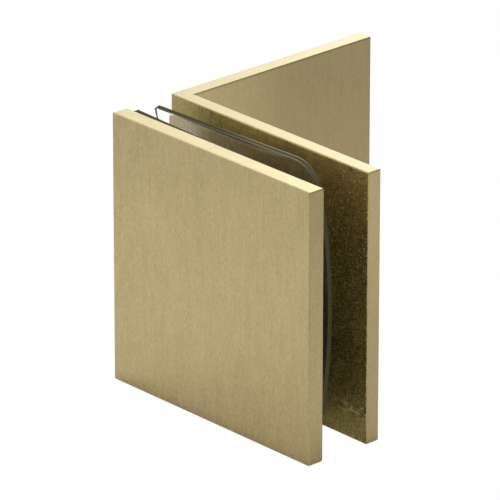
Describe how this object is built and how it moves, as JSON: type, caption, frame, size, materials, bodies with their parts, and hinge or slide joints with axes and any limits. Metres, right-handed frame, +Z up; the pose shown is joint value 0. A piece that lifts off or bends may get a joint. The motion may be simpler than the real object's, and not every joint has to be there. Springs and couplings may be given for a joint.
{
  "type": "glass panel clamp",
  "caption": "Square glass panel clamp: an angle fixed to the wall and a clamping plate that a screw from behind draws onto a glass panel, with clear gaskets between.",
  "frame": {"origin": "middle of the two wall-screw holes on the face that lies on the wall", "axes": "+Z up, -X into the wall, +X along the glass away from the wall, -Y towards the front plate, +Y towards the end of the wall leg"},
  "size_m": [0.05, 0.0584, 0.05],
  "materials": {
    "front_plate": "satin, brushed upright",
    "angle_bracket": "satin, brushed upright; blasted on the face behind the glass",
    "front_gasket": "clear soft sheet",
    "rear_gasket": "clear soft sheet",
    "clamp_screw": "plain stainless",
    "hole_sleeve": "clear moulded"
  },
  "bodies": {
    "bracket": {"angle_bracket": "angle_bracket", "rear_gasket": "rear_gasket"},
    "plate": {"front_plate": "front_plate", "front_gasket": "front_gasket", "hole_sleeve": "hole_sleeve"},
    "screw": {"clamp_screw": "clamp_screw"}
  },
  "joints": [
    {"name": "screw_turn", "type": "hinge", "parent": "bracket", "child": "screw", "pos_m": [0.025, -0.021, 0], "axis": [0, -1, 0], "range_deg": [-900.1, 900.1]},
    {"name": "plate_slide", "type": "slide", "parent": "bracket", "child": "plate", "axis": [0, 1, 0], "range_m": [-0.002, 0.002]}
  ],
  "couplings": [
    {"joint": "screw_turn", "follows": "plate_slide", "rad_per_m": 7854}
  ]
}
